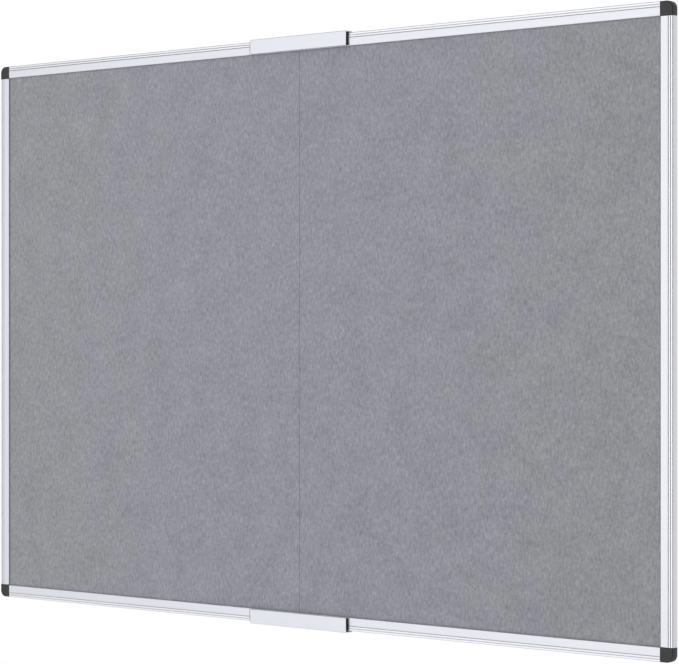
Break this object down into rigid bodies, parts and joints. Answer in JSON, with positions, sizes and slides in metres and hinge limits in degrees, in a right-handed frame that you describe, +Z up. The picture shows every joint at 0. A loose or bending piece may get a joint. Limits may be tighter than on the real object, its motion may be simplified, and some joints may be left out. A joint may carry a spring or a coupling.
{
  "type": "felt notice board",
  "caption": "Large grey felt notice board in an anodised aluminium frame, in hinged halves that sliding sleeves join, with black corner caps.",
  "frame": {"origin": "centre of the board's back plane, at the seam and at mid-height, where it hangs on the wall", "axes": "+X to the right as the board is read, +Y back to the wall, +Z up; the felt faces -Y"},
  "size_m": [1.8004, 0.0247, 1.208],
  "materials": {
    "anodised_aluminium": "satin",
    "grey_felt": "matte",
    "fibre_board": "matte",
    "backing_sheet": "matte",
    "pine": "matte",
    "black_plastic": "satin",
    "zinc_plated_steel": "satin"
  },
  "bodies": {
    "left_half": {"left_felt": "grey_felt", "left_core_board": "fibre_board", "left_backing_sheet": "backing_sheet", "left_seam_batten": "pine", "left_stile": "anodised_aluminium", "left_top_rail": "anodised_aluminium", "left_bottom_rail": "anodised_aluminium", "left_upper_corner_block": "black_plastic", "left_lower_corner_block": "black_plastic", "left_upper_corner_cap": "black_plastic", "left_lower_corner_cap": "black_plastic", "top_sleeve_stop_rivet": "zinc_plated_steel", "bottom_sleeve_stop_rivet": "zinc_plated_steel", "hinge_1_left_leaf": "zinc_plated_steel", "hinge_1_pin": "zinc_plated_steel", "hinge_1_left_screw_1": "zinc_plated_steel", "hinge_1_left_screw_2": "zinc_plated_steel", "hinge_2_left_leaf": "zinc_plated_steel", "hinge_2_pin": "zinc_plated_steel", "hinge_2_left_screw_1": "zinc_plated_steel", "hinge_2_left_screw_2": "zinc_plated_steel", "hinge_3_left_leaf": "zinc_plated_steel", "hinge_3_pin": "zinc_plated_steel", "hinge_3_left_screw_1": "zinc_plated_steel", "hinge_3_left_screw_2": "zinc_plated_steel"},
    "right_half": {"right_felt": "grey_felt", "right_core_board": "fibre_board", "right_backing_sheet": "backing_sheet", "right_seam_batten": "pine", "right_stile": "anodised_aluminium", "right_top_rail": "anodised_aluminium", "right_bottom_rail": "anodised_aluminium", "right_upper_corner_block": "black_plastic", "right_lower_corner_block": "black_plastic", "right_upper_corner_cap": "black_plastic", "right_lower_corner_cap": "black_plastic", "hinge_1_right_leaf": "zinc_plated_steel", "hinge_1_right_screw_1": "zinc_plated_steel", "hinge_1_right_screw_2": "zinc_plated_steel", "hinge_2_right_leaf": "zinc_plated_steel", "hinge_2_right_screw_1": "zinc_plated_steel", "hinge_2_right_screw_2": "zinc_plated_steel", "hinge_3_right_leaf": "zinc_plated_steel", "hinge_3_right_screw_1": "zinc_plated_steel", "hinge_3_right_screw_2": "zinc_plated_steel"},
    "top_sleeve": {"top_joint_sleeve": "anodised_aluminium", "top_sleeve_left_glide": "black_plastic", "top_sleeve_right_glide": "black_plastic"},
    "bottom_sleeve": {"bottom_joint_sleeve": "anodised_aluminium", "bottom_sleeve_left_glide": "black_plastic", "bottom_sleeve_right_glide": "black_plastic"}
  },
  "joints": [
    {"name": "fold", "type": "hinge", "parent": "left_half", "child": "right_half", "pos_m": [0, 0.0025, 0], "axis": [0, 0, 1], "range_deg": [0, 180]},
    {"name": "top_sleeve_slide", "type": "slide", "parent": "left_half", "child": "top_sleeve", "axis": [1, 0, 0], "range_m": [-0.741, 0]},
    {"name": "bottom_sleeve_slide", "type": "slide", "parent": "left_half", "child": "bottom_sleeve", "axis": [1, 0, 0], "range_m": [-0.741, 0]}
  ]
}
